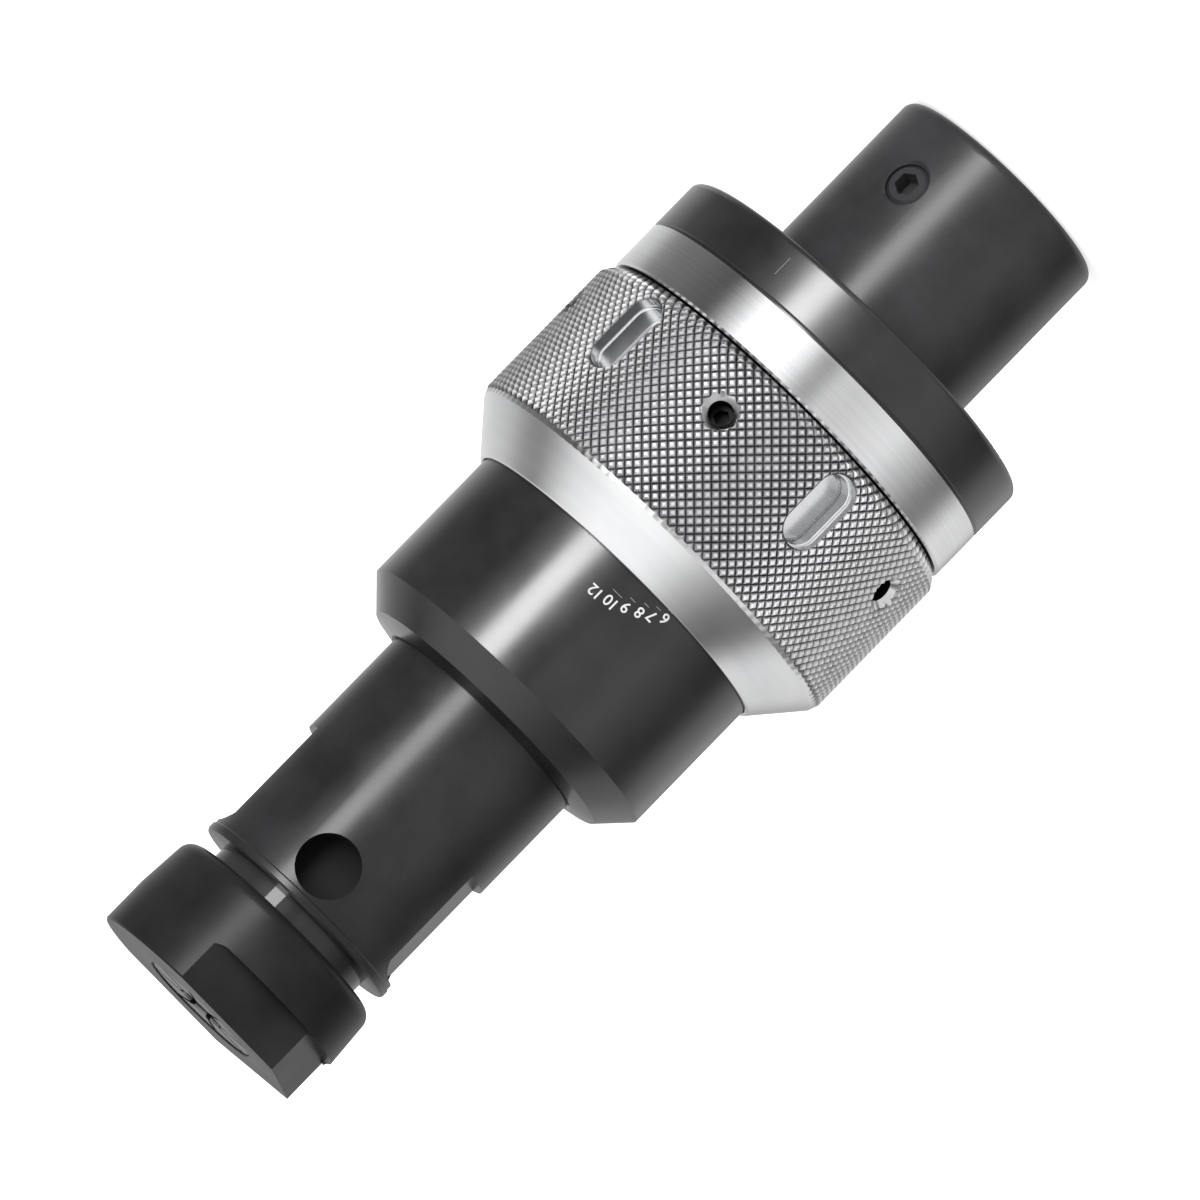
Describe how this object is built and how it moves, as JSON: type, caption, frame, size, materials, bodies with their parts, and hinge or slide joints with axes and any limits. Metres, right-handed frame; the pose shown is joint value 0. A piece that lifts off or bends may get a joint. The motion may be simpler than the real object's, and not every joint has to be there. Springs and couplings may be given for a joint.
{
  "type": "tapping chuck",
  "caption": "Torque-limiting chuck for taps: hollow shank with flange, knurled adjusting ring, numbered clutch sleeve, floating barrel and collet nut.",
  "frame": {"origin": "centre of the shank's open end face, on the axis", "axes": "+Z along the axis from the shank to the collet nut; -Y is the side with the round barrel hole"},
  "size_m": [0.0598, 0.0598, 0.15],
  "materials": {
    "black_oxide": "black oxide, satin",
    "ground_steel": "fine ground, bright",
    "knurled_steel": "diamond knurled, bright satin",
    "bearing_steel": "polished",
    "spring_steel": "oiled spring steel",
    "collet_steel": "ground",
    "bronze": "sintered bronze",
    "seal_rubber": "matte",
    "marking": "engraved and filled with light paint"
  },
  "bodies": {
    "drive_body": {"drive_shank": "black_oxide", "drive_flange": "black_oxide", "arbor_set_screw": "black_oxide", "flange_screws": "black_oxide", "drive_dowels": "bearing_steel", "clutch_body": "ground_steel", "ball_cage": "ground_steel", "cage_keys": "ground_steel", "core_circlip": "spring_steel", "sleeve_circlip": "spring_steel", "clutch_balls": "bearing_steel", "pressure_plate": "bearing_steel", "disc_springs": "spring_steel", "scale_sleeve": "black_oxide", "barrel_seal": "seal_rubber", "thrust_race_front": "bearing_steel", "hub_thrust_balls": "bearing_steel", "pilot_bush_rear": "bronze", "pilot_bush_front": "bronze"},
    "torque_slider": {"spring_washer": "bearing_steel", "ring_thrust_balls": "bearing_steel"},
    "adjusting_ring": {"adjusting_ring": "knurled_steel", "ring_lock_screws": "black_oxide"},
    "driven_hub": {"driven_hub": "ground_steel", "thrust_race_rear": "bearing_steel", "tension_spring": "spring_steel", "compression_spring": "spring_steel"},
    "barrel": {"collet_barrel": "black_oxide", "float_keys": "ground_steel", "stem_collar": "ground_steel", "collar_screw": "black_oxide"},
    "collet": {"spring_collet": "collet_steel"},
    "collet_nut": {"collet_nut": "black_oxide", "ejector_ring": "spring_steel"}
  },
  "joints": [
    {"name": "torque_slide", "type": "slide", "parent": "drive_body", "child": "torque_slider", "axis": [0, 0, 1], "range_m": [0, 0.004], "deforming": ["disc_springs"]},
    {"name": "ring_turn", "type": "hinge", "parent": "torque_slider", "child": "adjusting_ring", "pos_m": [0, 0, 0.055], "axis": [0, 0, 1], "range_deg": [0, 720]},
    {"name": "clutch_slip", "type": "hinge", "parent": "drive_body", "child": "driven_hub", "pos_m": [0, 0, 0.085], "axis": [0, 0, 1], "continuous": true},
    {"name": "float_slide", "type": "slide", "parent": "driven_hub", "child": "barrel", "axis": [0, 0, 1], "range_m": [-0.003, 0.005], "stiffness_N_per_m": 12000, "springref_m": 0.0003, "deforming": ["tension_spring", "compression_spring"]},
    {"name": "collet_slide", "type": "slide", "parent": "barrel", "child": "collet", "axis": [0, 0, 1], "range_m": [0, 0.003]},
    {"name": "nut_turn", "type": "hinge", "parent": "collet", "child": "collet_nut", "pos_m": [0, 0, 0.142], "axis": [0, 0, 1], "range_deg": [0, 720]}
  ],
  "couplings": [
    {"joint": "torque_slide", "follows": "ring_turn", "m_per_rad": 0.00031831},
    {"joint": "collet_slide", "follows": "nut_turn", "m_per_rad": 0.00023873}
  ]
}
